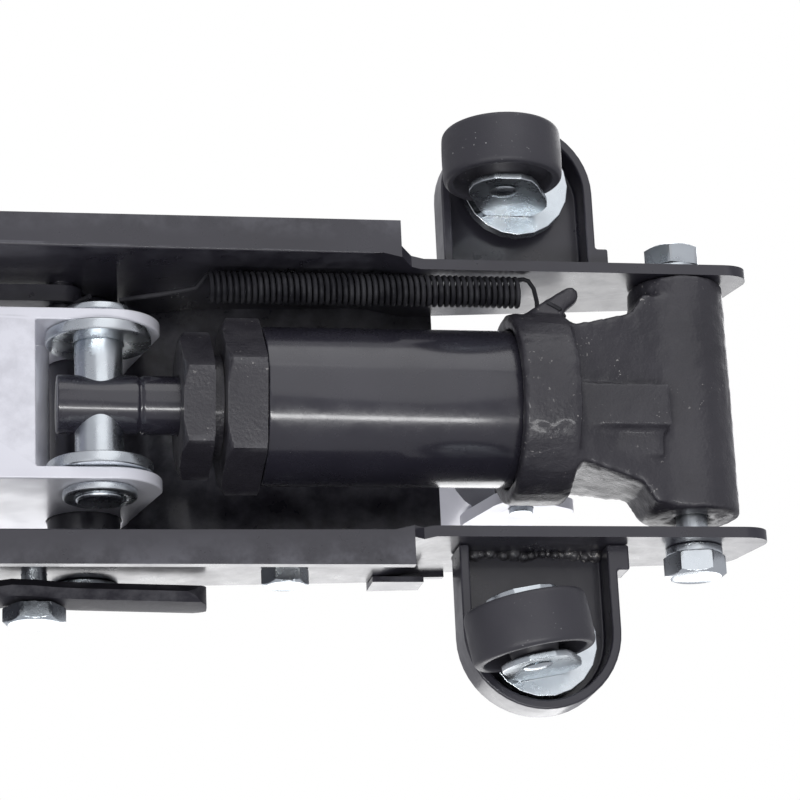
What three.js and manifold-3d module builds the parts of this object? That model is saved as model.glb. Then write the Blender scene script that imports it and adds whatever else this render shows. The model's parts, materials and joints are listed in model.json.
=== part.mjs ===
// A compact two-ton trolley jack, lowered, in millimetres.
// +X is the front, where the saddle is, +Y the left side and +Z up. The floor is z = 0 under the middle.
import * as THREE from "three";
import { mergeVertices } from "three/addons/utils/BufferGeometryUtils.js";
import Module from "manifold-3d";

const wasm = await Module();
wasm.setup();

// ---- Driving dimensions ----

const GAP = 0.3; // running clearance between pieces that don't touch
const HALF = Math.PI / 2;
const deg = THREE.MathUtils.degToRad;

const PLATE = { thick: 3.5, inner: 45, rearInner: 42, flangeOut: 56, flangeRear: -113, flangeZ: 24, rearZ: 30 };
const BARREL = { x: -206, z: 43.5, r: 15.5, right: -36, left: 41.6 };
const PIVOT = { x: -16.5, z: 79.4, r: 8, sleeve: 11.6, boss: 14.5 };
const RAM_PIN = { x: -19, z: 43.5, r: 7.5, half: 31.5 };
const SADDLE_PIN = { x: 205.5, z: 84, r: 5 };
const LINK = { dx: 8, dz: -20, r: 4, end: 6.8, inner: 37.5, outer: 43 }; // pins offset from the arm's two pivots
const AXLE = { x: 197, z: 27.5, r: 6 };
const WHEEL = { r: 27.5, from: 51, to: 81 };
const CASTER = { x: -154.5, y: 76, rimZ: 38.5, topZ: 52, wheelR: 19, wheelHalf: 8.5, trail: 9 };
const BRACKET = { y: 72.75, r: 25, wall: 3 }; // the round outer end of a caster bracket
const RIGHT_CASTER_TURN = deg(-10); // the right caster stands a little turned
const ARM = { outer: 27.5, stock: 4, webRear: 1, webFront: 168 };
// The ram pin crosses the arm's ears in an oversize hole, whose centre follows the pin's mean path.
const EAR_HOLE = { dx: -0.26, dz: 1.44, r: 9.3 };
const TUBE = { r: 25, wall: 3, front: -69, rear: -160 };
const CUP = { r: 30.5, rear: -166, front: -147.5 };
const SOCKET = { x: -162, z: 92, outer: 17, inner: 13.5, top: 156, cheekIn: 14.6, cheekOut: 18.6 };
const ROLLER = { x: -175.1, z: 97, r: 5.5, half: 6.5 };
const SPRING = { y: 36.3, z: 34.5, r: 5.2, wire: 1.6, rear: -153.5, front: -52 };
const PUMP = { top: 76, springTop: 88.4, head: 91.3 }; // the cylinder's top, and the piston's flange and head

const linkFront = { x: SADDLE_PIN.x + LINK.dx, z: SADDLE_PIN.z + LINK.dz };
const linkRear = { x: PIVOT.x + LINK.dx, z: PIVOT.z + LINK.dz };

// ---- Colours ----

const paint = (color, roughness, metalness) => new THREE.MeshStandardMaterial({ color, roughness, metalness });
const BLACK = paint(0x26262b, 0.35, 0.2);
const CAST_BLACK = paint(0x2f2e34, 0.65, 0.2);
const SILVER = paint(0xd9dae2, 0.4, 0.3);
const ZINC = paint(0xc3c8cf, 0.3, 0.9);
const STEEL = paint(0x8f9196, 0.35, 0.9);
const PLASTIC = paint(0x3a3940, 0.55, 0);
const SPRING_BLACK = paint(0x222226, 0.4, 0.5);

// ---- Solids ----

// A closed three.js geometry as a solid that can be cut and joined.
function solid(geometry) {
  const bare = geometry.index ? geometry.toNonIndexed() : geometry.clone();
  for (const name of ["normal", "uv"]) bare.deleteAttribute(name);
  const merged = mergeVertices(bare, 1e-4);
  return new wasm.Manifold(
    new wasm.Mesh({
      numProp: 3,
      vertProperties: merged.attributes.position.array,
      triVerts: new Uint32Array(merged.index.array),
    }),
  );
}

// The three.js geometry of a solid.
function geometryOf(body) {
  const mesh = body.getMesh();
  const geometry = new THREE.BufferGeometry();
  geometry.setAttribute("position", new THREE.BufferAttribute(new Float32Array(mesh.vertProperties), 3));
  geometry.setIndex(new THREE.BufferAttribute(new Uint32Array(mesh.triVerts), 1));
  return geometry;
}

const join = (first, ...others) => others.reduce((sum, other) => sum.add(other), first);
const cut = (first, ...others) => others.reduce((left, other) => left.subtract(other), first);

// A round bar from a to b along an axis; the other two numbers place its centre line.
function barX(y, z, r, a, b, sides = 20) {
  return solid(new THREE.CylinderGeometry(r, r, b - a, sides).rotateZ(-HALF).translate((a + b) / 2, y, z));
}
function barY(x, z, r, a, b, sides = 20) {
  return solid(new THREE.CylinderGeometry(r, r, b - a, sides).translate(x, (a + b) / 2, z));
}
function barZ(x, y, r, a, b, sides = 20) {
  return solid(new THREE.CylinderGeometry(r, r, b - a, sides).rotateX(HALF).translate(x, y, (a + b) / 2));
}

function block(x0, x1, y0, y1, z0, z1) {
  const box = new THREE.BoxGeometry(x1 - x0, y1 - y0, z1 - z0);
  return solid(box.translate((x0 + x1) / 2, (y0 + y1) / 2, (z0 + z1) / 2));
}

// An outline of (x, z) points or a Shape, extruded across the jack from y0 to y1.
function across(outline, y0, y1, curveSegments = 8) {
  const shape = outline instanceof THREE.Shape ? outline : polygon(outline);
  const options = { depth: y1 - y0, bevelEnabled: false, curveSegments };
  return solid(new THREE.ExtrudeGeometry(shape, options).rotateX(HALF).translate(0, y1, 0));
}

// An outline of (x, y) points or a Shape, extruded upwards from z0 to z1.
function upward(outline, z0, z1, curveSegments = 8) {
  const shape = outline instanceof THREE.Shape ? outline : polygon(outline);
  const options = { depth: z1 - z0, bevelEnabled: false, curveSegments };
  return solid(new THREE.ExtrudeGeometry(shape, options).translate(0, 0, z0));
}

const polygon = (points) => new THREE.Shape(points.map(([x, y]) => new THREE.Vector2(x, y)));

// The outline of two discs joined by their tangents, such as a link or a lug.
function capsule(x0, y0, r0, x1, y1, r1, steps = 8) {
  const along = Math.atan2(y1 - y0, x1 - x0);
  const lean = Math.acos((r0 - r1) / Math.hypot(x1 - x0, y1 - y0));
  const points = [];
  for (let i = 0; i <= steps; i++) {
    const a = along + lean + ((2 * Math.PI - 2 * lean) * i) / steps;
    points.push([x0 + r0 * Math.cos(a), y0 + r0 * Math.sin(a)]);
  }
  for (let i = 0; i <= steps; i++) {
    const a = along - lean + (2 * lean * i) / steps;
    points.push([x1 + r1 * Math.cos(a), y1 + r1 * Math.sin(a)]);
  }
  return points;
}

// ---- The group ----

const jack = new THREE.Group();

function add(name, body, material) {
  const mesh = new THREE.Mesh(body instanceof THREE.BufferGeometry ? body : geometryOf(body), material);
  mesh.name = name;
  jack.add(mesh);
  return mesh;
}

// A left piece and its mirror image on the right.
function addPair(name, body, material) {
  add(name + "_left", body, material);
  add(name + "_right", body, material).scale.y = -1;
}

// ---- Side plates ----

const PLATE_BOLTS = { cover: [-77.5, 58.5], carryRear: [0, 66], carryFront: [100, 56] };
const BOLT_R = 4;

function sideOutline() {
  const s = new THREE.Shape();
  s.moveTo(-219, PLATE.rearZ);
  s.lineTo(-117, PLATE.rearZ);
  s.lineTo(PLATE.flangeRear, PLATE.flangeZ);
  s.lineTo(165, PLATE.flangeZ);
  s.lineTo(188, 15.3);
  s.absarc(AXLE.x, AXLE.z, 15, deg(-126), deg(70), false);
  s.lineTo(120, 64);
  s.lineTo(8, 90);
  s.quadraticCurveTo(-16, 97, -38, 84);
  s.lineTo(-55, 79);
  s.lineTo(-131, 73.2);
  s.lineTo(-216, 62.5);
  s.quadraticCurveTo(-223, 61, -224, 54);
  s.lineTo(-228, 38);
  s.quadraticCurveTo(-228, PLATE.rearZ, -219, PLATE.rearZ);
  return s;
}

function sidePlate(bolts) {
  const { thick, inner, rearInner, flangeOut, flangeRear, flangeZ } = PLATE;
  const step = inner - rearInner;
  // Seen from above, the plate steps in behind the flange so that the rear bolts draw it to the barrel.
  const plan = [
    [-240, rearInner],
    [-120, rearInner],
    [-107, inner],
    [230, inner],
    [230, inner + thick],
    [-108, inner + thick],
    [-121, inner + thick - step],
    [-240, rearInner + thick],
  ];
  const wall = across(sideOutline(), rearInner - 2, inner + thick + 2).intersect(upward(plan, 0, 120));
  const flange = [
    [flangeRear, inner + 1],
    [165, inner + 1],
    [165, inner + thick],
    [150, flangeOut],
    [flangeRear, flangeOut],
  ];
  const holes = [
    barY(BARREL.x, BARREL.z, 5.3, 38, 52),
    barY(PIVOT.x, PIVOT.z, PIVOT.r + 0.2, 40, 52),
    barY(AXLE.x, AXLE.z, AXLE.r + 0.2, 40, 52),
    ...bolts.map(([x, z]) => barY(x, z, BOLT_R + 0.2, 40, 52, 12)),
  ];
  return cut(join(wall, upward(flange, flangeZ, flangeZ + thick)), ...holes);
}

// The levelling link's rear pin is a stub welded to the left plate.
const linkStub = barY(linkRear.x, linkRear.z, LINK.r, 36, PLATE.inner + 1);
add("side_plate_left", join(sidePlate([]), linkStub), BLACK);
add("side_plate_right", sidePlate(Object.values(PLATE_BOLTS)), BLACK).scale.y = -1;

// The cover, bent up to meet the arm's round boss, bridges the side plates' top edges over the reservoir.
const coverOutline = [
  [-131, 73.4],
  [-55, 79.2],
  [-38, 84.3],
  [-33.6, 86.8],
  [-29, 89],
  [-30.4, 91.2],
  [-39, 86.8],
  [-55.6, 81.8],
  [-131, 76],
];
// A tab on its right edge folds down over the side plate.
const tabTop = [[-106.5, 77.88], [-123, 76.6]];
const tabFold = across([[-123, 74.01], [-106.5, 75.27], ...tabTop], -50.6, -46);
const tabLeaf = across([[-123, 66], [-106.5, 66], ...tabTop], -50.6, -48.8);
add("top_cover", join(across(coverOutline, -47, 47), tabFold, tabLeaf), BLACK);
const tubeBody = barY(150, 38, 8, -PLATE.inner + 0.1, PLATE.inner - 0.1);
add("front_cross_tube", cut(tubeBody, barY(150, 38, 5.5, -60, 60)), BLACK);

// ---- Front axle and wheels ----

add("front_axle", barY(AXLE.x, AXLE.z, AXLE.r, -91, 91), ZINC);
const HEX = 2 / Math.sqrt(3); // across corners over across flats

function frontWheel() {
  const { r, from, to } = WHEEL;
  const profile = [
    [AXLE.r + 0.3, from],
    [11, from],
    [12, from + 5],
    [22, from + 5],
    [24, from],
    [r - 2, from],
    [r, from + 3],
    [r, to - 3],
    [r - 2, to],
    [24, to],
    [22, to - 5],
    [12, to - 5],
    [11, to],
    [AXLE.r + 0.3, to],
  ];
  const closed = [...profile, profile[0]].map(([radius, y]) => new THREE.Vector2(radius, y));
  return solid(new THREE.LatheGeometry(closed, 24).translate(AXLE.x, 0, AXLE.z));
}
addPair("front_wheel", frontWheel(), BLACK);
const axleNut = barY(AXLE.x, AXLE.z, 9.5 * HEX, WHEEL.to + GAP, WHEEL.to + 7, 6);
addPair("axle_nut", cut(axleNut, barY(AXLE.x, AXLE.z, AXLE.r + 0.15, 70, 95)), ZINC);

// ---- Lift arm ----

function armOutline() {
  const s = new THREE.Shape();
  s.moveTo(-22, 31);
  s.lineTo(75, 31);
  s.lineTo(196, 75);
  s.absarc(SADDLE_PIN.x, SADDLE_PIN.z, 12.5, deg(-110), deg(92), false);
  s.lineTo(60, 90);
  s.absarc(PIVOT.x, PIVOT.z, PIVOT.boss, deg(85), deg(180), false);
  s.lineTo(-38.5, 47);
  s.absellipse(-22, 47, 16.5, 16, Math.PI, 1.5 * Math.PI, false, 0);
  return s;
}

function liftArm() {
  const { outer, stock, webRear, webFront } = ARM;
  const inner = outer - stock;
  const body = across(armOutline(), -outer, outer);
  const channel = [
    [webRear, 0],
    [webRear, 31 + stock],
    [75 - stock * 0.35, 31 + stock],
    [webFront, 31 + stock + (webFront - 75 + stock * 0.35) * (44 / 121)],
    [webFront, 0],
    [260, 0],
    [260, 140],
    [-60, 140],
    [-60, 0],
  ];
  const open = cut(body, across(channel, -inner, inner));
  const brace = barY(0.5, 60, 5.2, -inner - 1, inner + 1);
  const hole = barY(RAM_PIN.x + EAR_HOLE.dx, RAM_PIN.z + EAR_HOLE.dz, EAR_HOLE.r, -40, 40);
  const pivotHole = barY(PIVOT.x, PIVOT.z, PIVOT.sleeve + GAP, -40, 40);
  return cut(join(open, brace), hole, pivotHole, barY(SADDLE_PIN.x, SADDLE_PIN.z, SADDLE_PIN.r + GAP, -40, 40));
}
add("lift_arm", liftArm(), SILVER);

const pivotHead = barY(PIVOT.x, PIVOT.z, 11 * HEX, 48.8, 56, 6);
add("arm_pivot_shaft", join(barY(PIVOT.x, PIVOT.z, PIVOT.r, -50.6, 50), pivotHead), ZINC);
const pivotClip = barY(PIVOT.x, PIVOT.z, 10.5, -50.3, -48.7);
add("arm_pivot_clip", cut(pivotClip, barY(PIVOT.x, PIVOT.z, PIVOT.r + 0.15, -60, -40)), ZINC);
const sleeve = barY(PIVOT.x, PIVOT.z, PIVOT.sleeve, -PLATE.inner + 0.2, PLATE.inner - 0.2);
add("pivot_sleeve", cut(sleeve, barY(PIVOT.x, PIVOT.z, PIVOT.r + 0.2, -50, 50)), BLACK);

// ---- Saddle, its bracket and the link that keeps it level ----

function saddleBracket() {
  const half = ARM.outer - ARM.stock - 0.5;
  const boss = across(capsule(SADDLE_PIN.x, SADDLE_PIN.z, 11, linkFront.x, linkFront.z, 8), -half, half);
  const neck = block(SADDLE_PIN.x - 11, SADDLE_PIN.x + 11, -half, half, SADDLE_PIN.z, 102);
  const top = block(SADDLE_PIN.x - 22, SADDLE_PIN.x + 22, -half, half, 99, 110);
  return cut(
    join(boss, neck, top),
    barZ(SADDLE_PIN.x, 0, 8.3, 90, 120),
    barY(SADDLE_PIN.x, SADDLE_PIN.z, SADDLE_PIN.r + 0.15, -40, 40),
    barY(linkFront.x, linkFront.z, LINK.r + 0.15, -40, 40),
  );
}
add("saddle_bracket", saddleBracket(), BLACK);
const saddlePinBody = barY(SADDLE_PIN.x, SADDLE_PIN.z, SADDLE_PIN.r, -31, 31);
const saddlePinHead = barY(SADDLE_PIN.x, SADDLE_PIN.z, 8, -31, -28);
add("saddle_pin", join(saddlePinBody, saddlePinHead), ZINC);

function saddle() {
  const profile = [
    [0, 92.5],
    [8, 92.5],
    [8, 110.3],
    [17, 110.3],
    [21.5, 115],
    [24, 124],
    [24, 130],
    [20.5, 130],
    [18.5, 121],
    [0, 121],
  ];
  const points = profile.map(([radius, z]) => new THREE.Vector2(radius, z));
  const cup = solid(new THREE.LatheGeometry(points, 24).rotateX(HALF).translate(SADDLE_PIN.x, 0, 0));
  const slot = (turn) => {
    const notch = new THREE.BoxGeometry(60, 7, 10).rotateZ(turn).translate(SADDLE_PIN.x, 0, 130);
    return solid(notch);
  };
  return cut(cup, slot(deg(45)), slot(deg(-45)));
}
add("saddle", saddle(), CAST_BLACK);

const linkOutline = capsule(linkRear.x, linkRear.z, LINK.end, linkFront.x, linkFront.z, LINK.end);
const linkPinHoles = [linkRear, linkFront].map((p) => barY(p.x, p.z, LINK.r + GAP, 30, 50, 20));
add("levelling_link", cut(across(linkOutline, LINK.inner, LINK.outer), ...linkPinHoles), BLACK);
add("link_front_pin", barY(linkFront.x, linkFront.z, LINK.r, -22, 44.4, 20), ZINC);

// ---- Hydraulic unit ----

function baseCasting() {
  const { x, z, r, right, left } = BARREL;
  const barrel = barY(x, z, r, right, left, 24);
  const cup = barX(0, z, CUP.r, CUP.rear, CUP.front, 32);
  const neckPlan = [
    [CUP.rear + 4, -21],
    [-187, -28],
    [-191, -34.5],
    [x, -34.5],
    [x, 34.5],
    [-191, 34.5],
    [-187, 28],
    [CUP.rear + 4, 21],
  ];
  const neckSide = [
    [CUP.rear + 4, 22],
    [-196, 29],
    [x, 29],
    [x, 56],
    [-187, 52],
    [CUP.rear + 4, 66],
  ];
  const neck = across(neckSide, -40, 40).intersect(upward(neckPlan, 0, 120));
  const ribs = join(
    block(-196, CUP.rear + 1, -11.6, 2.2, 22, 40),
    block(-194, CUP.rear + 1, -20, -11.6, 25.5, 40),
  );
  const tower = block(-188, -166, -13, 13, 40, 74);
  const hornSide = capsule(SOCKET.x, SOCKET.z, 8.5, SOCKET.x, 68, 9);
  const horns = [across(hornSide, 9, 14), across(hornSide, -14, -9)];
  const ear = upward(capsule(-157, 27, 3.5, -168.5, 35, 2.8), 31, 37);
  return cut(
    join(barrel, cup, neck, ribs, tower, ...horns, ear),
    barX(0, z, TUBE.r + 0.2, TUBE.rear - 1, 0, 32),
    barX(0, z, 5, -178, TUBE.rear + 1, 16),
    barY(x, z, 5.3, -60, 60),
    barZ(ROLLER.x, 0, 5.3, 40, 80),
    barY(SOCKET.x, SOCKET.z, 4.2, -20, 20),
    barZ(-158, 0, 4.2, 70, 90),
  );
}
add("base_casting", baseCasting(), CAST_BLACK);

const { r: tubeR, wall, front: tubeFront, rear: tubeRear } = TUBE;
const tubeShell = barX(0, BARREL.z, tubeR, tubeRear, tubeFront, 32);
add("reservoir_tube", cut(tubeShell, barX(0, BARREL.z, tubeR - wall, tubeRear - 1, tubeFront + 1, 24)), BLACK);
const innerShell = barX(0, BARREL.z, 16, tubeRear, tubeFront, 24);
add("inner_cylinder", cut(innerShell, barX(0, BARREL.z, 12, tubeRear - 1, tubeFront + 1, 24)), STEEL);

function hexNut(x0, x1, flats, bore) {
  const body = new THREE.CylinderGeometry((flats * HEX) / 2, (flats * HEX) / 2, x1 - x0, 6);
  body.rotateZ(-HALF).rotateX(deg(-15)).translate((x0 + x1) / 2, 0, BARREL.z);
  return cut(solid(body), barX(0, BARREL.z, bore, x0 - 1, x1 + 1, 24));
}
add("reservoir_nut", hexNut(-68.7, -56.5, 48, 9.6), CAST_BLACK);
const glandNeck = cut(barX(0, BARREL.z, 16, -56.3, -53, 24), barX(0, BARREL.z, 9.6, -60, -50, 24));
add("gland_nut", join(glandNeck, hexNut(-53.2, -43.5, 40, 9.6)), CAST_BLACK);
const plug = new THREE.CylinderGeometry(5, 5, 5, 12).translate(0, CUP.r + 2.7, 0).rotateX(deg(50));
add("filler_plug", plug.translate(-155, 0, BARREL.z), PLASTIC);

// ---- Ram ----

const rodBody = barX(0, RAM_PIN.z, 9.2, -140, -5.8, 24);
const rodHole = barY(RAM_PIN.x, RAM_PIN.z, RAM_PIN.r + 0.2, -20, 20);
add("ram_rod", cut(rodBody, rodHole), BLACK);
add("ram_piston", barX(0, RAM_PIN.z, 11.7, -152, -140.2, 24), STEEL);
add("ram_pin", barY(RAM_PIN.x, RAM_PIN.z, RAM_PIN.r, -RAM_PIN.half, RAM_PIN.half), ZINC);
const ringHole = barY(RAM_PIN.x, RAM_PIN.z, RAM_PIN.r + 0.15, 10, 40);
addPair("ram_washer", cut(barY(RAM_PIN.x, RAM_PIN.z, 16.5, 19.4, 23.2, 24), ringHole), ZINC);
addPair("ram_clip", cut(barY(RAM_PIN.x, RAM_PIN.z, 11.5, 27.8, 30.4), ringHole), ZINC);

// ---- Return spring ----

const { y: springY, z: springZ, r: springR, wire, rear: springRear, front: springFront } = SPRING;
const springShell = barX(springY, springZ, springR, springRear, springFront);
const springHollow = barX(springY, springZ, springR - wire, springRear - 1, springFront + 1, 16);
add("return_spring", cut(springShell, springHollow), SPRING_BLACK);

// ---- Rear bolts ----

const boltFace = PLATE.rearInner + PLATE.thick;
const boltWasher = cut(barY(BARREL.x, BARREL.z, 9, boltFace + 0.1, boltFace + 2.6), barY(BARREL.x, BARREL.z, 5.2, 30, 60));
addPair("rear_spring_washer", boltWasher, ZINC);
const boltHead = barY(BARREL.x, BARREL.z, 8.5 * HEX, boltFace + 2.7, boltFace + 9.5, 6);
addPair("rear_bolt", join(barY(BARREL.x, BARREL.z, 5, 16, boltFace + 5), boltHead), ZINC);

// ---- Pump, release valve and handle socket ----

add("pump_cylinder", cut(barZ(ROLLER.x, 0, 8.3, 74.1, PUMP.top), barZ(ROLLER.x, 0, 5.3, 60, 80)), STEEL);
const pistonHead = barZ(ROLLER.x, 0, 7.5, PUMP.springTop + 0.2, PUMP.head);
add("pump_piston", join(barZ(ROLLER.x, 0, 5, 50, PUMP.head - 1), pistonHead), STEEL);
const pumpCoil = barZ(ROLLER.x, 0, 7.2, PUMP.top + 0.2, PUMP.springTop);
add("pump_spring", cut(pumpCoil, barZ(ROLLER.x, 0, 5.6, 70, 95)), SPRING_BLACK);
add("release_valve", join(barZ(-158, 0, 4, 74, 84, 16), barZ(-158, 0, 5.5, 81, 86, 6)), STEEL);

function handleSocket() {
  const { x, z, outer, inner, top, cheekIn, cheekOut } = SOCKET;
  const axisX = x + 4;
  const cheekSide = capsule(x, z, 10, axisX, z + 22, 12);
  const heel = capsule(x, z, 9, ROLLER.x, ROLLER.z, 6);
  const cheeks = [
    across(cheekSide, cheekIn, cheekOut),
    across(cheekSide, -cheekOut, -cheekIn),
    across(heel, cheekIn, cheekOut),
    across(heel, -cheekOut, -cheekIn),
  ];
  const tube = barZ(axisX, 0, outer, z + 14, top, 24);
  const hollow = barZ(axisX, 0, inner, z + 19, top + 5, 24);
  return cut(
    join(tube, ...cheeks, barY(ROLLER.x, ROLLER.z, 3, -16, 16, 16)),
    hollow,
    barZ(axisX, 0, 6, z + 10, z + 25, 16),
    barY(x, z, 4.3, -30, 30),
    barY(axisX, 140, 4.2, 5, 30, 16),
  );
}
add("handle_socket", handleSocket(), SILVER);
add("socket_pin", barY(SOCKET.x, SOCKET.z, 4, -20.5, 20.5, 20), ZINC);
const rollerHole = barY(ROLLER.x, ROLLER.z, 3.3, -20, 20, 16);
add("pump_roller", cut(barY(ROLLER.x, ROLLER.z, ROLLER.r, -ROLLER.half, ROLLER.half), rollerHole), STEEL);
const clampShank = barY(SOCKET.x + 4, 140, 4, 14.5, 24, 16);
add("socket_screw", join(clampShank, barY(SOCKET.x + 4, 140, 7, 20, 26, 6)), ZINC);

// ---- Rear casters ----

function casterBracket() {
  const { x, rimZ, topZ, y } = CASTER;
  const root = boltFace + 0.1;
  const arch = (r) => {
    const s = new THREE.Shape();
    s.moveTo(x - r, root);
    s.lineTo(x + r, root);
    s.absarc(x, BRACKET.y, r, 0, Math.PI, false);
    return s;
  };
  const inside = upward(arch(BRACKET.r - BRACKET.wall), rimZ - 1, topZ - BRACKET.wall, 12);
  const shell = cut(upward(arch(BRACKET.r), rimZ, topZ, 12), inside);
  const tab = block(x - BRACKET.r - 4, x - BRACKET.r + 1, root, root + 8, rimZ, topZ - 2);
  return cut(join(shell, tab), barZ(x, y, 5.2, 45, 60));
}
const bracketBody = casterBracket();
addPair("caster_bracket", bracketBody, BLACK);
const studShank = barZ(CASTER.x, CASTER.y, 5, 44.9, 58);
addPair("caster_stud", join(studShank, barZ(CASTER.x, CASTER.y, 8 * HEX, 52.2, 57, 6)), ZINC);

// A caster as if its swivel axis were the origin, trailing towards +X.
function casterParts() {
  const { wheelR, wheelHalf, trail } = CASTER;
  const race = cut(barZ(0, 0, 17.5, 40.5, 44.6), barZ(0, 0, 3, 30, 50));
  const legSide = capsule(trail, wheelR, 11, 3, 32, 11).map(([x, z]) => [x, Math.max(z, 9)]);
  const legs = [across(legSide, wheelHalf + 0.7, wheelHalf + 2.7), across(legSide, -wheelHalf - 2.7, -wheelHalf - 0.7)];
  const axleHole = barY(trail, wheelR, 3.2, -30, 30, 16);
  const fork = cut(join(race, ...legs), axleHole);
  const axle = join(
    barY(trail, wheelR, 3, -wheelHalf - 3.6, wheelHalf + 3.6, 16),
    barY(trail, wheelR, 4.6, wheelHalf + 3, wheelHalf + 4.2, 16),
    barY(trail, wheelR, 4.6, -wheelHalf - 4.2, -wheelHalf - 3, 16),
  );
  const profile = [
    [3.4, -wheelHalf],
    [7, -wheelHalf],
    [8, -wheelHalf + 4],
    [15, -wheelHalf + 4],
    [16.5, -wheelHalf],
    [wheelR - 1.2, -wheelHalf + 1.2],
    [wheelR, -wheelHalf + 5],
    [wheelR, wheelHalf - 5],
    [wheelR - 1.2, wheelHalf - 1.2],
    [16.5, wheelHalf],
    [15, wheelHalf - 4],
    [8, wheelHalf - 4],
    [7, wheelHalf],
    [3.4, wheelHalf],
  ];
  const closed = [...profile, profile[0]].map(([radius, y]) => new THREE.Vector2(radius, y));
  const wheel = solid(new THREE.LatheGeometry(closed, 20).translate(trail, 0, wheelR));
  return { fork, axle, wheel };
}

const casterBodies = casterParts();
for (const [side, y, turn] of [["left", CASTER.y, 0], ["right", -CASTER.y, RIGHT_CASTER_TURN]]) {
  const caster = new THREE.Group();
  caster.position.set(CASTER.x, y, 0);
  caster.rotation.z = turn;
  jack.add(caster);
  for (const [kind, material] of [["fork", ZINC], ["axle", ZINC], ["wheel", PLASTIC]]) {
    caster.add(add(`caster_${kind}_${side}`, casterBodies[kind], material));
  }
}

// ---- Carry handle ----

const carryLine = new THREE.CatmullRomCurve3(
  [[-54, 55], [-12, 55], [12, 55], [24, 61], [36, 75], [64, 75], [76, 61], [88, 55], [119, 55]].map(
    ([x, y]) => new THREE.Vector3(x, -y, 0),
  ),
);
const carryHalf = { thick: 3.8, high: 10.2 };
const carrySection = new THREE.Shape();
carrySection.absellipse(0, 0, carryHalf.high, carryHalf.thick, 0, 2 * Math.PI, false, 0);

// The handle climbs with the side plate's bolts, from 66 mm up at the rear one to 56 mm at the front one.
function carryHandle() {
  const options = { steps: 28, bevelEnabled: false, extrudePath: carryLine, curveSegments: 4 };
  const bar = new THREE.ExtrudeGeometry(carrySection, options);
  const [rear, front] = [PLATE_BOLTS.carryRear, PLATE_BOLTS.carryFront];
  const drop = (front[1] - rear[1]) / (front[0] - rear[0]);
  const at = bar.attributes.position;
  for (let i = 0; i < at.count; i++) at.setZ(i, at.getZ(i) + rear[1] + drop * at.getX(i));
  const end = (x) => [x, rear[1] + drop * x, carryHalf.high + 0.3];
  const rounded = across(capsule(...end(-43.5), ...end(108.5), 12), -90, -40);
  const holes = [rear, front].map(([x, z]) => barY(x, z, BOLT_R + 0.2, -70, -40, 12));
  return cut(solid(bar).intersect(rounded), ...holes);
}
add("carry_handle", carryHandle(), BLACK);

// A hex bolt through the right side plate, its head outside a stack that starts at face.
function plateBolt([x, z], face, flats) {
  const head = barY(x, z, (flats * HEX) / 2, -face - 5.5, -face - 0.1, 6);
  const shank = barY(x, z, BOLT_R, -face - 2, -PLATE.inner + 6, 12);
  return join(head, shank);
}
add("carry_bolt_rear", plateBolt(PLATE_BOLTS.carryRear, 58.9, 17), ZINC);
add("carry_bolt_front", plateBolt(PLATE_BOLTS.carryFront, 58.9, 17), ZINC);
add("cover_bolt", plateBolt(PLATE_BOLTS.cover, PLATE.inner + PLATE.thick, 13), ZINC);

export default jack;
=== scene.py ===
import json
import logging
import math
from dataclasses import dataclass
from enum import Enum
from typing import Iterable, Sequence

import bmesh
import bpy
from mathutils import Matrix, Vector


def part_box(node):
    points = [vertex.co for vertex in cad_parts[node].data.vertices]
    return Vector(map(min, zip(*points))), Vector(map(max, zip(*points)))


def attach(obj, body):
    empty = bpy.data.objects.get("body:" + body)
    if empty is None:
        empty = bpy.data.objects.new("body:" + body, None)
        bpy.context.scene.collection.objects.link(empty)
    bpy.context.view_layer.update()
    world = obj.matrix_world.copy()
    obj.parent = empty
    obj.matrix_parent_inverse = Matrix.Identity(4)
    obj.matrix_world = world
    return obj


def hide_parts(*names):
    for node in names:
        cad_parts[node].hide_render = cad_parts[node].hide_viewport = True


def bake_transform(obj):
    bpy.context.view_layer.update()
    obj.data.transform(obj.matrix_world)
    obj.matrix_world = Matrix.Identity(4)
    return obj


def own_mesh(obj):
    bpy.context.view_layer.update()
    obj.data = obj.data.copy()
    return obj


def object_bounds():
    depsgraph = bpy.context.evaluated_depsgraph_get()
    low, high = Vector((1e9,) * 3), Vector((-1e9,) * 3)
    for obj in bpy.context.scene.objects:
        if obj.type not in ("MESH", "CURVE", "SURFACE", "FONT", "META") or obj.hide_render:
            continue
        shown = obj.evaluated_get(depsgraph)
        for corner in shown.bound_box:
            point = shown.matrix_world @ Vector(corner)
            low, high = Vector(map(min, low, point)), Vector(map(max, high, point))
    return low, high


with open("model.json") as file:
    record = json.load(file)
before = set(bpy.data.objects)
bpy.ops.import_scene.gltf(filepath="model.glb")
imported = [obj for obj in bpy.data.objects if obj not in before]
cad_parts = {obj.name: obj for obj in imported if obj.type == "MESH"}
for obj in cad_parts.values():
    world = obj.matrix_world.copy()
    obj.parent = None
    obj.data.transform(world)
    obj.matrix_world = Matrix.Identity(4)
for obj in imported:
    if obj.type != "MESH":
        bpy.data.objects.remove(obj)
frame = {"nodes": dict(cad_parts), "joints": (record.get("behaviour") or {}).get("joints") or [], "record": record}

log = logging.getLogger("floor_jack")
MM = 0.001
CAD_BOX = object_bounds()
BODY_OF = {node: body for body, nodes in frame["record"]["behaviour"]["bodies"].items() for node in nodes}
SLOT_OF = {part["node"]: part["material_slot"] for part in frame["record"]["subparts"]}

Point = tuple[float, float]


class Axis(Enum):
    """The direction that a turned piece's own axis points in."""

    X = Vector((1, 0, 0))
    Y = Vector((0, 1, 0))
    Z = Vector((0, 0, 1))


# ---- Finishes ----


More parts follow.
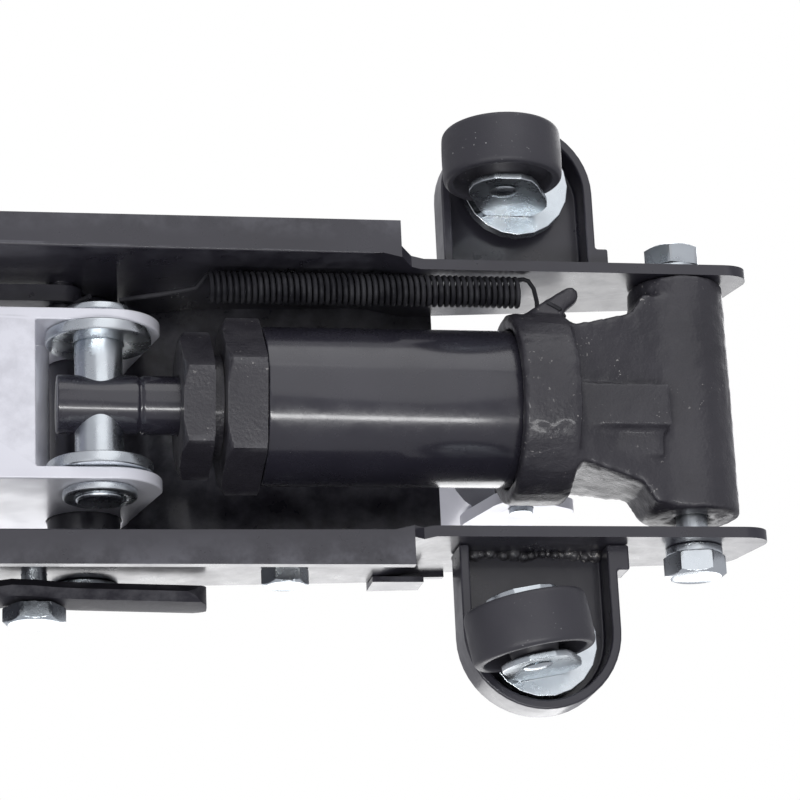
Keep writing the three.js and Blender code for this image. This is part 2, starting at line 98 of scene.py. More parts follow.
class Painter:
    """A material under construction, with short calls for the nodes that a finish is made of."""

    def __init__(self, name: str) -> None:
        """Starts a material with a Principled shader.

        Args:
            name: the material's name.
        """
        self.material = bpy.data.materials.new(name)
        self.material.use_nodes = True
        self.tree = self.material.node_tree
        self.shader = self.tree.nodes["Principled BSDF"]
        self.place = self.tree.nodes.new("ShaderNodeTexCoord").outputs["Object"]

    def node(self, kind: str, **sockets: object) -> bpy.types.Node:
        """Adds a node and fills its inputs.

        Args:
            kind: the node's type.
            **sockets: an input's name, spaces as underscores, and its value or the socket that feeds it.

        Returns:
            The new node.
        """
        made = self.tree.nodes.new(kind)
        for name, value in sockets.items():
            socket = made.inputs[name.replace("_", " ")]
            if isinstance(value, bpy.types.NodeSocket):
                self.tree.links.new(value, socket)
            else:
                socket.default_value = value
        return made

    def noise(self, scale: float, detail: float = 3.0, rough: float = 0.55) -> bpy.types.NodeSocket:
        """Returns fractal noise from 0 to 1; scale is in lumps per metre."""
        made = self.node("ShaderNodeTexNoise", Vector=self.place, Scale=scale, Detail=detail, Roughness=rough)
        return made.outputs["Fac"]

    def spread(
        self, value: bpy.types.NodeSocket, low: float, high: float, out: Point
    ) -> bpy.types.NodeSocket:
        """Returns value's stretch from low to high laid over out, and clamped there."""
        made = self.node("ShaderNodeMapRange", Value=value, From_Min=low, From_Max=high)
        made.inputs["To Min"].default_value, made.inputs["To Max"].default_value = out
        return made.outputs["Result"]

    def times(self, a: bpy.types.NodeSocket, b: bpy.types.NodeSocket) -> bpy.types.NodeSocket:
        """Returns the product of two values."""
        made = self.tree.nodes.new("ShaderNodeMath")
        made.operation = "MULTIPLY"
        self.tree.links.new(a, made.inputs[0])
        self.tree.links.new(b, made.inputs[1])
        return made.outputs[0]

    def blend(self, amount: bpy.types.NodeSocket, a: object, b: Sequence[float]) -> bpy.types.NodeSocket:
        """Mixes two colours.

        Args:
            amount: how much of b there is, from 0 to 1.
            a: a colour, or the socket that gives one.
            b: a colour.

        Returns:
            The mixed colour's socket.
        """
        made = self.tree.nodes.new("ShaderNodeMix")
        made.data_type = "RGBA"
        self.tree.links.new(amount, made.inputs["Factor"])
        if isinstance(a, bpy.types.NodeSocket):
            self.tree.links.new(a, made.inputs[6])
        else:
            made.inputs[6].default_value = (*a, 1)
        made.inputs[7].default_value = (*b, 1)
        return made.outputs[2]

    def feed(self, name: str, value: bpy.types.NodeSocket) -> None:
        """Links value to the shader's input of that name."""
        self.tree.links.new(value, self.shader.inputs[name])


@dataclass(frozen=True)
class Finish:
    """How a surface looks: its colours, its gloss, its grain and its wear."""

    name: str
    color: tuple[float, float, float]
    cloud: tuple[float, float, float]  # the second colour, in soft patches
    roughness: Point  # the glossiest and the dullest patches
    metallic: float = 0.0
    coat: float = 0.0
    grain: float = 1500.0  # lumps per metre
    depth: float = 0.02 * MM  # how deep the grain is
    swell: float = 0.0  # how deep the slower waviness is
    glint_fleck: float = 0.0  # how much of the surface painted glints cover: bright flecks in the colour that stand in for sparkle on the rough paint
    # the colour of the painted glints
    glint_color: tuple[float, float, float] = (0.5, 0.5, 0.5)
    gloss: float = 0.5  # the strength of the reflections, which is 0.5 for plain paint
    wear: float = 0.5  # how far edges are rubbed
    wear_color: tuple[float, float, float] = (0.3, 0.3, 0.32)

    def build(self) -> bpy.types.Material:
        """Returns the finish as a material."""
        paint = Painter(self.name)
        patches = paint.noise(28.0, 4.0)
        smudges = paint.noise(95.0, 5.0, 0.65)
        fine = paint.noise(self.grain, 4.0, 0.6)
        color = paint.blend(paint.spread(patches, 0.35, 0.7, (0, 1)), self.color, self.cloud)
        # painted glints: bright flecks in patches, blended into the colour in place of sparkle highlights
        if self.glint_fleck:
            spots = paint.spread(paint.noise(900.0, 2.0, 0.5), 0.74 - self.glint_fleck, 0.78 - self.glint_fleck, (0, 0.9))
            glint_zones = paint.spread(paint.noise(60.0, 2.0), 0.5, 0.62, (0, 1))
            color = paint.blend(paint.times(spots, glint_zones), color, self.glint_color)
        edges = paint.node("ShaderNodeNewGeometry").outputs["Pointiness"]
        rub = paint.spread(edges, 0.53, 0.6, (0, self.wear))
        rub = paint.times(rub, paint.spread(smudges, 0.42, 0.62, (0, 1)))
        paint.feed("Base Color", paint.blend(rub, color, self.wear_color))
        paint.feed("Roughness", paint.spread(smudges, 0.3, 0.7, self.roughness))
        bump = paint.node("ShaderNodeBump", Height=fine, Strength=1.0, Distance=self.depth)
        if self.swell:
            waves = paint.noise(170.0, 3.0)
            slow = paint.node("ShaderNodeBump", Height=waves, Strength=1.0, Distance=self.swell)
            paint.tree.links.new(slow.outputs["Normal"], bump.inputs["Normal"])
        paint.feed("Normal", bump.outputs["Normal"])
        paint.shader.inputs["Metallic"].default_value = self.metallic
        paint.shader.inputs["Specular IOR Level"].default_value = self.gloss
        paint.shader.inputs["Coat Weight"].default_value = self.coat
        paint.shader.inputs["Coat Roughness"].default_value = 0.12
        return paint.material


FINISHES = {
    "frame_paint": Finish(
        "black_frame_paint", (0.021, 0.02, 0.028), (0.028, 0.027, 0.037), (0.24, 0.42),
        coat=0.35, grain=1300.0, depth=0.012 * MM, swell=0.05 * MM, wear_color=(0.12, 0.12, 0.14),
    ),
    "unit_paint": Finish(
        "black_unit_paint", (0.019, 0.018, 0.026), (0.026, 0.025, 0.035), (0.16, 0.34),
        coat=0.6, grain=900.0, depth=0.01 * MM, swell=0.07 * MM, wear_color=(0.2, 0.2, 0.22),
    ),
    "casting_paint": Finish(
        "black_casting_paint", (0.02, 0.019, 0.025), (0.035, 0.033, 0.041), (0.26, 0.55),
        # painted glints: grey flecks in the colour, standing in for sparkle on the cast skin
        coat=0.25, grain=950.0, depth=0.28 * MM, swell=0.3 * MM, glint_fleck=0.07, glint_color=(0.3, 0.29, 0.28),
        wear_color=(0.16, 0.16, 0.17),
    ),
    "arm_paint": Finish(
        "silver_arm_paint", (0.74, 0.745, 0.8), (0.7, 0.705, 0.765), (0.3, 0.46),
        metallic=0.25, coat=0.25, grain=2400.0, depth=0.01 * MM, swell=0.04 * MM, wear=0.35,
        wear_color=(0.42, 0.42, 0.46),
    ),
    "zinc": Finish(
        "bright_zinc", (0.72, 0.76, 0.79), (0.6, 0.66, 0.7), (0.16, 0.4),
        metallic=1.0, grain=1900.0, depth=0.02 * MM, swell=0.05 * MM, wear_color=(0.42, 0.4, 0.36),
    ),
    "steel": Finish(
        "turned_steel", (0.4, 0.4, 0.41), (0.32, 0.31, 0.31), (0.22, 0.4),
        metallic=1.0, grain=2600.0, depth=0.015 * MM, wear_color=(0.55, 0.55, 0.55),
    ),
    "spring_steel": Finish(
        "black_spring_wire", (0.012, 0.012, 0.015), (0.02, 0.02, 0.024), (0.4, 0.58),
        metallic=0.1, grain=2000.0, depth=0.01 * MM, gloss=0.15, wear=0.1,
    ),
    "wheel_plastic": Finish(
        "dark_nylon", (0.034, 0.033, 0.041), (0.045, 0.044, 0.053), (0.36, 0.55),
        # painted glints: a few light flecks in the nylon's colour
        grain=1500.0, depth=0.05 * MM, swell=0.06 * MM, glint_fleck=0.03, wear_color=(0.16, 0.16, 0.17),
    ),
    "grip_paint": Finish(
        "matt_black_grip", (0.02, 0.019, 0.026), (0.028, 0.027, 0.034), (0.5, 0.66),
        grain=1300.0, depth=0.02 * MM, swell=0.1 * MM, gloss=0.25, wear_color=(0.12, 0.12, 0.13),
    ),
    "weld": Finish(
        "painted_weld", (0.018, 0.017, 0.02), (0.04, 0.038, 0.042), (0.2, 0.45),
        # painted glints: light flecks in the colour, standing in for the shiny specks on the bead
        coat=0.5, grain=1200.0, depth=0.2 * MM, glint_fleck=0.13, glint_color=(0.5, 0.48, 0.45),
    ),
}
MATERIALS: dict[str, bpy.types.Material] = {}


def material(finish: str) -> bpy.types.Material:
    """Returns the finish's material, made once."""
    if finish not in MATERIALS:
        MATERIALS[finish] = FINISHES[finish].build()
    return MATERIALS[finish]


# ---- Mesh tools ----


def dress(
    piece: bpy.types.Object, node: str, finish: str = "", stands_in: bool = True
) -> bpy.types.Object:
    """Gives a piece its material, chosen by the CAD node's slot, and its body, both from the CAD node that it
    belongs to.

    Args:
        piece: the finished piece.
        node: the CAD node whose body and slot it takes.
        finish: a finish other than the slot's own.
        stands_in: whether it takes the CAD node's place.

    Returns:
        The piece.
    """
    piece.data.materials.clear()
    piece.data.materials.append(material(finish or SLOT_OF[node]))
    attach(piece, BODY_OF[node])
    if stands_in:
        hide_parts(node)
    log.info("%s: %d faces", piece.name, len(piece.data.polygons))
    return piece


def as_object(name: str, shape: bmesh.types.BMesh, sharp: float = 32.0) -> bpy.types.Object:
    """Turns a bmesh into an object at the origin.

    Args:
        name: the object's name.
        shape: the bmesh, which is freed.
        sharp: edges bent further than this, in degrees, stay crisp.

    Returns:
        The new object.
    """
    mesh = bpy.data.meshes.new(name)
    shape.to_mesh(mesh)
    shape.free()
    mesh.shade_smooth()
    mesh.set_sharp_from_angle(angle=math.radians(sharp))
    made = bpy.data.objects.new(name, mesh)
    bpy.context.scene.collection.objects.link(made)
    return made


def settled(piece: bpy.types.Object) -> bpy.types.Object:
    """Applies a piece's modifiers and returns it."""
    graph = bpy.context.evaluated_depsgraph_get()
    mesh = bpy.data.meshes.new_from_object(piece.evaluated_get(graph))
    piece.modifiers.clear()
    piece.data = mesh
    return piece


def merged_copy(node: str) -> bmesh.types.BMesh:
    """Returns a copy of a CAD node's mesh, with its corners merged and its flat faces whole."""
    shape = bmesh.new()
    shape.from_mesh(frame["nodes"][node].data)
    bmesh.ops.remove_doubles(shape, verts=shape.verts, dist=0.004 * MM)
    bmesh.ops.dissolve_limit(shape, angle_limit=math.radians(0.6), verts=shape.verts, edges=shape.edges)
    return shape


def eased_plate(node: str, ease: float = 0.5 * MM, steps: int = 3) -> bpy.types.Object:
    """Makes a fine copy of a pressed or machined piece, with its edges eased.

    Args:
        node: the CAD node.
        ease: the width of the rounding along its edges.
        steps: the faces across a rounding.

    Returns:
        The new object, not yet dressed.
    """
    return eased_copy(node, merged_copy(node), ease, steps)


def eased_copy(node: str, shape: bmesh.types.BMesh, ease: float, steps: int = 3) -> bpy.types.Object:
    """Turns a copy of a CAD node's mesh into an object, with its edges eased.

    Args:
        node: the CAD node that the new object is named after.
        shape: the copy, which is freed.
        ease: the width of the rounding along its edges.
        steps: the faces across a rounding.

    Returns:
        The new object, not yet dressed.
    """
    made = as_object(node + "_fine", shape, 180.0)
    bevel = made.modifiers.new("ease", "BEVEL")
    bevel.width, bevel.segments, bevel.limit_method = ease, steps, "ANGLE"
    bevel.angle_limit = math.radians(27)
    bevel.miter_outer = "MITER_ARC"
    made.modifiers.new("normals", "WEIGHTED_NORMAL").keep_sharp = False
    return settled(made)


def eased(points: Sequence[Point], radius: float, loop: bool = False, steps: int = 3) -> list[Point]:
    """Rounds the corners of an outline.

    Args:
        points: the outline's corners.
        radius: how far back from a corner its rounding starts, at most.
        loop: whether the outline closes on itself.
        steps: the points that replace a corner, less one.

    Returns:
        The new outline.
    """
    made: list[Point] = []
    count = len(points)
    for i, corner in enumerate(points):
        if not loop and i in (0, count - 1):
            made.append(corner)
            continue
        here = Vector(corner)
        before, after = Vector(points[i - 1]), Vector(points[(i + 1) % count])
        back = min(radius, (before - here).length * 0.45, (after - here).length * 0.45)
        start = here + (before - here).normalized() * back
        end = here + (after - here).normalized() * back
        for k in range(steps + 1):
            t = k / steps
            spot = start * (1 - t) ** 2 + here * 2 * t * (1 - t) + end * t**2
            made.append((spot.x, spot.y))
    return made


def turned(
    name: str, centre: Vector, axis: Axis, profile: Sequence[Sequence[float]], loop: bool = False,
    segments: int = 96, phase: float = 0.0, direction: Vector | None = None,
) -> bpy.types.Object:
    """Turns a profile round an axis, as on a lathe.

    Args:
        name: the new object's name.
        centre: the point on the axis that the profile's places are measured from.
        axis: the axis.
        profile: (place along the axis, radius) pairs. A third number is the width across a hexagon's
            flats, which the round is cut to.
        loop: whether the profile closes on itself, as a ring's does. Otherwise its ends are capped.
        segments: the steps round the axis.
        phase: the turn of the hexagon, in radians.
        direction: an axis that isn't one of the main three.

    Returns:
        The new object.
    """
    shape = bmesh.new()
    turn = (direction or axis.value).to_track_quat("Z", "Y").to_matrix()
    rings = []
    for place, radius, *flats in profile:
        if radius < 1e-7:
            rings.append([shape.verts.new(centre + turn @ Vector((0, 0, place)))])
            continue
        ring = []
        for i in range(segments):
            a = 2 * math.pi * i / segments
            reach = radius
            if flats:
                corner = (a % (math.pi / 3)) - math.pi / 6
                reach = min(radius, flats[0] / 2 / math.cos(corner))
            spot = Vector((math.cos(a + phase), math.sin(a + phase), 0)) * reach
            ring.append(shape.verts.new(centre + turn @ (spot + Vector((0, 0, place)))))
        rings.append(ring)
    pairs = list(zip(rings, rings[1:] + rings[:1])) if loop else list(zip(rings, rings[1:]))
    for a, b in pairs:
        for i in range(segments):
            j = (i + 1) % segments
            if len(a) == 1:
                shape.faces.new((a[0], b[j], b[i]))
            elif len(b) == 1:
                shape.faces.new((a[i], a[j], b[0]))
            else:
                shape.faces.new((a[i], a[j], b[j], b[i]))
    if not loop:
        for ring in (rings[0], rings[-1]):
            if len(ring) > 1:
                shape.faces.new(ring)
    bmesh.ops.recalc_face_normals(shape, faces=shape.faces)
    return as_object(name, shape)


def middle(node: str) -> Vector:
    """Returns the middle of a CAD node's box."""
    low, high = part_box(node)
    return (low + high) / 2


def span(node: str, axis: Axis) -> Point:
    """Returns a CAD node's lowest and highest place along an axis."""
    low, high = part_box(node)
    return low.dot(axis.value), high.dot(axis.value)


def width(node: str, axis: Axis) -> float:
    """Returns how wide a CAD node is along an axis."""
    low, high = span(node, axis)
    return high - low


def ring_profile(reach: Point, bore: float, radius: float, ease: float) -> list[Point]:
    """Returns the closed profile of a tube, a sleeve or a washer.

    Args:
        reach: the places of its two ends along its axis.
        bore: its inner radius.
        radius: its outer radius.
        ease: how far its corners are rounded.

    Returns:
        The profile that turned() takes as a loop.
    """
    low, high = reach
    return eased([(low, bore), (low, radius), (high, radius), (high, bore)], ease, True)


def on_axis(node: str, axis: Axis) -> Vector:
    """Returns the middle of a CAD node, with nothing along the axis."""
    centre = middle(node)
    return centre - axis.value * centre.dot(axis.value)


def hexagon(
    face: float, top: float, flats: float, chamfer: float = 0.475
) -> list[tuple[float, float, float]]:
    """Returns the profile of a hexagon head or nut whose outer corners are chamfered.

    Args:
        face: the place of the face that bears.
        top: the place of the outer face, above or below the first.
        flats: the width across flats.
        chamfer: the radius of the round outer face, over the width across flats.

    Returns:
        Profile points from the bearing face to the outer face, with no point on the axis.
    """
    sign = 1 if top > face else -1
    round_face, corner = flats * chamfer, flats * 0.578
    fall = (corner - round_face) * math.tan(math.radians(30))
    points = [(face, corner * 0.97, flats), (face + sign * 0.3 * MM, corner, flats)]
    for k in range(6):
        t = k / 5
        points.append((top - sign * fall * (1 - t), corner + (round_face - corner) * t, flats))
    return points


# ---- Geometry Nodes ----


class Tree:
    """A Geometry Nodes tree with named inputs, and the way to run it."""

    def __init__(self, name: str, inputs: dict[str, tuple[str, object]]) -> None:
        """Starts a tree that takes a geometry and the named inputs.

        Args:
            name: the tree's name.
            inputs: each input's name, with its socket type and its usual value.
        """
        self.tree = bpy.data.node_groups.new(name, "GeometryNodeTree")
        face = self.tree.interface
        face.new_socket("Geometry", in_out="INPUT", socket_type="NodeSocketGeometry")
        for label, (kind, usual) in inputs.items():
            socket = face.new_socket(label, in_out="INPUT", socket_type=kind)
            if usual is not None:
                socket.default_value = usual
        face.new_socket("Geometry", in_out="OUTPUT", socket_type="NodeSocketGeometry")
        self.start = self.tree.nodes.new("NodeGroupInput").outputs
        self.end = self.tree.nodes.new("NodeGroupOutput").inputs[0]

    def node(self, kind: str, **sockets: object) -> bpy.types.Node:
        """Adds a node and fills its inputs, as a Painter does."""
        made = self.tree.nodes.new(kind)
        for name, value in sockets.items():
            socket = made.inputs[name.replace("_", " ")]
            if isinstance(value, bpy.types.NodeSocket):
                self.tree.links.new(value, socket)
            else:
                socket.default_value = value
        return made

    def close(self, geometry: bpy.types.NodeSocket) -> None:
        """Ends the tree: real faces, and the material."""
        whole = self.node("GeometryNodeRealizeInstances", Geometry=geometry)
        paint = self.start["Material"]
        painted = self.node("GeometryNodeSetMaterial", Geometry=whole.outputs[0], Material=paint)
        self.tree.links.new(painted.outputs[0], self.end)

    def run(self, name: str, source: bpy.types.Mesh, values: dict[str, object]) -> bpy.types.Object:
        """Runs the tree on a mesh.

        Args:
            name: the new object's name.
            source: the mesh that goes in.
            values: the values of the named inputs.

        Returns:
            An object with the tree's result as a plain mesh.
        """
        made = bpy.data.objects.new(name, source)
        bpy.context.scene.collection.objects.link(made)
        modifier = made.modifiers.new(name, "NODES")
        modifier.node_group = self.tree
        for item in self.tree.interface.items_tree:
            if item.in_out == "INPUT" and item.name in values:
                modifier[item.identifier] = values[item.name]
        settled(made)
        shape = bmesh.new()
        shape.from_mesh(made.data)
        bmesh.ops.remove_doubles(shape, verts=shape.verts, dist=0.001 * MM)
        bmesh.ops.recalc_face_normals(shape, faces=shape.faces)
        shape.to_mesh(made.data)
        shape.free()
        made.data.shade_smooth()
        made.data.set_sharp_from_angle(angle=math.radians(40))
        return made


def path_mesh(points: Iterable[Vector]) -> bpy.types.Mesh:
    """Returns a mesh of one chain of edges through the points."""
    spots = list(points)
    mesh = bpy.data.meshes.new("path")
    mesh.from_pydata(spots, [(i, i + 1) for i in range(len(spots) - 1)], [])
    return mesh


def wire_tree() -> Tree:
    """Returns the tree that draws a round wire along a path."""
    tree = Tree("wire_along_path", {
        "Radius": ("NodeSocketFloat", 0.8 * MM), "Sides": ("NodeSocketInt", 12),
        "Material": ("NodeSocketMaterial", None),
    })
    curve = tree.node("GeometryNodeMeshToCurve", Mesh=tree.start["Geometry"])
    ring = tree.node("GeometryNodeCurvePrimitiveCircle", Resolution=tree.start["Sides"])
    tree.tree.links.new(tree.start["Radius"], ring.inputs["Radius"])
    swept = tree.node("GeometryNodeCurveToMesh", Curve=curve.outputs[0], Profile_Curve=ring.outputs[0])
    swept.inputs["Fill Caps"].default_value = True
    tree.close(swept.outputs[0])
    return tree


def weld_tree() -> Tree:
    """Returns the tree that lays a weld bead of overlapping lumps along a path."""
    tree = Tree("weld_bead", {
        "Pitch": ("NodeSocketFloat", 1.5 * MM), "Radius": ("NodeSocketFloat", 1.6 * MM),
        "Seed": ("NodeSocketInt", 3), "Material": ("NodeSocketMaterial", None),
    })
    curve = tree.node("GeometryNodeMeshToCurve", Mesh=tree.start["Geometry"])
    points = tree.tree.nodes.new("GeometryNodeCurveToPoints")
    points.mode = "LENGTH"
    tree.tree.links.new(curve.outputs[0], points.inputs["Curve"])
    tree.tree.links.new(tree.start["Pitch"], points.inputs["Length"])
    jitter = tree.node("FunctionNodeRandomValue", Seed=tree.start["Seed"])
    jitter.data_type = "FLOAT_VECTOR"
    jitter.inputs[0].default_value, jitter.inputs[1].default_value = (-0.7 * MM,) * 3, (0.7 * MM,) * 3
    uneven = tree.node("GeometryNodeSetPosition", Geometry=points.outputs["Points"], Offset=jitter.outputs[0])
    lump = tree.node("GeometryNodeMeshIcoSphere", Radius=tree.start["Radius"], Subdivisions=3)
    size = tree.node("FunctionNodeRandomValue", Seed=tree.start["Seed"])
    size.data_type = "FLOAT"
    size.inputs[2].default_value, size.inputs[3].default_value = 0.6, 1.25
    placed = tree.node("GeometryNodeInstanceOnPoints", Points=uneven.outputs[0], Instance=lump.outputs[0])
    tree.tree.links.new(size.outputs[1], placed.inputs["Scale"])
    tree.close(placed.outputs[0])
    return tree


def spokes_tree() -> Tree:
    """Returns the tree that sets thin ribs round a wheel's hub."""
    tree = Tree("wheel_ribs", {
        "Count": ("NodeSocketInt", 8), "Radius": ("NodeSocketFloat", 15 * MM),
        "Size": ("NodeSocketVector", (12 * MM, 1.6 * MM, 4 * MM)), "Material": ("NodeSocketMaterial", None),
    })
    ring = tree.node("GeometryNodeCurvePrimitiveCircle", Resolution=tree.start["Count"])
    tree.tree.links.new(tree.start["Radius"], ring.inputs["Radius"])
    points = tree.tree.nodes.new("GeometryNodeCurveToPoints")
    points.mode = "EVALUATED"
    tree.tree.links.new(ring.outputs[0], points.inputs["Curve"])
    rib = tree.node("GeometryNodeMeshCube", Size=tree.start["Size"])
    place = tree.node("GeometryNodeInputPosition")
    turn = tree.node("FunctionNodeAlignEulerToVector", Vector=place.outputs[0])
    turn.axis = "X"
    placed = tree.node("GeometryNodeInstanceOnPoints", Points=points.outputs[0], Instance=rib.outputs[0])
    tree.tree.links.new(turn.outputs[0], placed.inputs["Rotation"])
    tree.close(placed.outputs[0])
    return tree


WIRE, WELD, SPOKES = wire_tree(), weld_tree(), spokes_tree()


def spring_wire(name: str, points: Iterable[Vector], radius: float) -> bpy.types.Object:
    """Returns a round wire of spring steel along the points."""
    values = {"Radius": radius, "Sides": 8, "Material": material("spring_steel")}
    return WIRE.run(name, path_mesh(points), values)


def coil_points(
    centre: Vector, axis: Axis, reach: Point, radius: float, turns: int, steps: int
) -> list[Vector]:
    """Returns the points of a coil.

    Args:
        centre: a point on the coil's axis.
        axis: the axis.
        reach: the places of the coil's two ends along the axis.
        radius: the radius of the wire's middle line.
        turns: the turns from end to end.
        steps: the points in a turn.

    Returns:
        The points from the first end to the second.
    """
    along = list(Axis).index(axis)
    total = turns * steps
    spots = []
    for i in range(total + 1):
        a = 2 * math.pi * i / steps
        spot = Vector(centre)
        spot[along] = reach[0] + (reach[1] - reach[0]) * i / total
        spot[(along + 1) % 3] += radius * math.cos(a)
        spot[(along + 2) % 3] += radius * math.sin(a)
        spots.append(spot)
    return spots


def weld(name: str, points: Iterable[Vector], node: str, radius: float, seed: int) -> bpy.types.Object:
    """Lays a weld bead along the points, on the body of a CAD node.

    Args:
        name: the bead's name.
        points: where it runs.
        node: the CAD node that it rides with.
        radius: half the bead's width.
        seed: the seed of its unevenness.

    Returns:
        The dressed bead.
    """
    values = {"Pitch": radius * 0.9, "Radius": radius, "Seed": seed, "Material": material("weld")}
    return dress(WELD.run(name, path_mesh(points), values), node, finish="weld", stands_in=False)


# ---- The jack ----


@dataclass
class SteelFrame:
    """The two side plates, what ties them together and the bolts through them."""

    ease: float = 0.6 * MM
    bend: float = 3 * MM
    inner: float = 45 * MM  # from the middle plane to a plate's inner face
    under: float = 24 * MM  # the height of the flanges' lower faces
    tube_wall: float = 2.5 * MM

    def build(self) -> None:
        """Builds every piece of the frame."""
        for side in ("left", "right"):
            dress(self.side_plate(f"side_plate_{side}"), f"side_plate_{side}")
            self.rear_bolt(side)
            self.axle_nut(side)
        dress(eased_plate("top_cover", self.ease), "top_cover")
        self.cross_tube()
        self.front_axle()
        self.pivot()
        self.plate_bolt("cover_bolt")

    def side_plate(self, node: str) -> bpy.types.Object:
        """Makes a side plate, whose lower edge is rounded where the flange is bent out.

        Args:
            node: the CAD node.

        Returns:
            The new object, not yet dressed.
        """
        shape = merged_copy(node)

        def on_bend(spot: Vector) -> bool:
            """Returns whether a corner lies on the inner lower edge of the plate's front part."""
            return abs(abs(spot.y) - self.inner) < 0.2 * MM and abs(spot.z - self.under) < 0.2 * MM

        bends = [edge for edge in shape.edges if all(on_bend(corner.co) for corner in edge.verts)]
        bmesh.ops.bevel(
            shape, geom=bends, offset=self.bend, segments=6, profile=0.5, affect="EDGES", clamp_overlap=True
        )
        return eased_copy(node, shape, self.ease)

    def cross_tube(self) -> None:
        """Makes the tube between the plates' noses."""
        node = "front_cross_tube"
        radius = width(node, Axis.Z) / 2
        ring = ring_profile(span(node, Axis.Y), radius - self.tube_wall, radius, 0.4 * MM)
        dress(turned(node + "_fine", on_axis(node, Axis.Y), Axis.Y, ring, True), node)

    def front_axle(self) -> None:
        """Makes the front axle, with chamfered ends."""
        low = span("front_axle", Axis.Y)[0]
        radius = width("front_axle", Axis.Z) / 2
        bar = [(low, 0), (low, radius - 1 * MM), (low + 1 * MM, radius)]
        bar += [(-place, reach) for place, reach in reversed(bar)]
        dress(turned("front_axle_fine", on_axis("front_axle", Axis.Y), Axis.Y, bar), "front_axle")

    def axle_nut(self, side: str) -> None:
        """Makes the nut that keeps a front wheel on."""
        node = f"axle_nut_{side}"
        low, high = span(node, Axis.Y)
        inner, outer = (low, high) if side == "left" else (high, low)
        flats = width(node, Axis.X)
        bore = 6.15 * MM
        ring = [(inner, bore), *hexagon(inner, outer, flats), (outer, bore)]
        nut = turned(node + "_fine", on_axis(node, Axis.Y), Axis.Y, ring, True, phase=math.pi / 6)
        dress(nut, node)

    def pivot(self) -> None:
        """Makes the arm's pivot: its shaft and head, its clip and the dark sleeve that the arm turns on."""
        low, high = span("arm_pivot_shaft", Axis.Y)
        flats = width("arm_pivot_shaft", Axis.X)
        face, shank = 48.8 * MM, 8 * MM
        bar = [(low, 0), (low, shank - 0.8 * MM), (low + 0.8 * MM, shank), (face, shank)]
        bar += [*hexagon(face, high, flats), (high, 0)]
        centre = on_axis("arm_pivot_shaft", Axis.Y)
        dress(turned("arm_pivot_shaft_fine", centre, Axis.Y, bar), "arm_pivot_shaft")
        for node, bore in (("arm_pivot_clip", shank + 0.15 * MM), ("pivot_sleeve", shank + 0.2 * MM)):
            ring = ring_profile(span(node, Axis.Y), bore, width(node, Axis.X) / 2, 0.4 * MM)
            dress(turned(node + "_fine", centre, Axis.Y, ring, True), node)

    def rear_bolt(self, side: str) -> None:
        """Makes a rear bolt and the split washer under its head."""
        node, washer = f"rear_bolt_{side}", f"rear_spring_washer_{side}"
        sign = 1 if side == "left" else -1
        centre = on_axis(node, Axis.Y)
        reach = [abs(place) for place in span(node, Axis.Y)]
        flats = width(node, Axis.X)
        shank, face, top = 5 * MM, 48.2 * MM, max(reach)
        bar = [(min(reach), 0), (min(reach), shank - 0.7 * MM), (min(reach) + 0.7 * MM, shank), (face, shank)]
        bar += [*hexagon(face, top, flats), (top - 0.5 * MM, flats * 0.4), (top - 0.5 * MM, 0)]
        bolt = turned(node + "_fine", centre, Axis.Y, [(sign * p[0], *p[1:]) for p in bar], phase=0.2 * sign)
        dress(bolt, node)
        ring = ring_profile(span(washer, Axis.Y), 5.2 * MM, width(washer, Axis.X) / 2, 0.5 * MM)
        dress(turned(washer + "_fine", centre, Axis.Y, ring, True), washer)

    def plate_bolt(self, node: str) -> None:
        """Makes a small hexagon bolt through the right plate."""
        low, high = span(node, Axis.Y)
        flats = width(node, Axis.X)
        shank, head = 4 * MM, 5.4 * MM
        face = low + head
        bar = [(high, 0), (high, shank - 0.6 * MM), (high - 0.6 * MM, shank), (face, shank)]
        bar += [*hexagon(face, low, flats), (low + 0.4 * MM, flats * 0.38), (low + 0.4 * MM, 0)]
        dress(turned(node + "_fine", on_axis(node, Axis.Y), Axis.Y, bar), node)


@dataclass
class CarryHandle:
    """The bowed flat bar on the right plate, and its two bolts."""

    ease: float = 1.2 * MM

    def build(self, steel: SteelFrame) -> None:
        """Builds the bar and its bolts.

        Args:
            steel: the frame, which makes bolts of the same kind.
        """
        dress(eased_plate("carry_handle", self.ease), "carry_handle", finish="grip_paint")
        for end in ("front", "rear"):
            steel.plate_bolt(f"carry_bolt_{end}")


@dataclass
class FrontWheel:
    """One of the two large wheels, with a ribbed recess on each face."""

    side: str
    hub: float = 11 * MM
    rim: float = 23.5 * MM
    recess: float = 6 * MM
    ribs: int = 8

    def build(self) -> None:
        """Turns the wheel and sets its ribs."""
        node = f"front_wheel_{self.side}"
        centre = middle(node)
        low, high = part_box(node)
        radius, half = (high.z - low.z) / 2, (high.y - low.y) / 2
        bore = 6.3 * MM
        face = [(half, bore), (half, self.hub), (half - self.recess, self.hub + 1 * MM)]
        face += [(half - self.recess, self.rim - 1 * MM), (half - 0.5 * MM, self.rim)]
        face += [(half - 0.5 * MM, radius - 2 * MM), (half - 3 * MM, radius)]
        ring = face + [(-place, reach) for place, reach in reversed(face)]
        wheel = turned(node + "_fine", centre, Axis.Y, eased(ring, 0.7 * MM, True), True, 128)
        dress(wheel, node)
        size = (self.rim - self.hub - 1 * MM, 1.8 * MM, self.recess - 1.2 * MM)
        lift = half - self.recess + size[2] / 2 - 0.2 * MM
        values = {"Count": self.ribs, "Radius": (self.rim + self.hub) / 2, "Size": size}
        values["Material"] = material("frame_paint")
        for face_name, sign in (("outer", 1), ("inner", -1)):
            ribs = SPOKES.run(f"{node}_ribs_{face_name}", bpy.data.meshes.new("none"), values)
            place = Matrix.Translation(centre + Vector((0, sign * lift, 0)))
            ribs.data.transform(place @ Matrix.Rotation(math.pi / 2, 4, "X"))
            dress(ribs, node, stands_in=False)


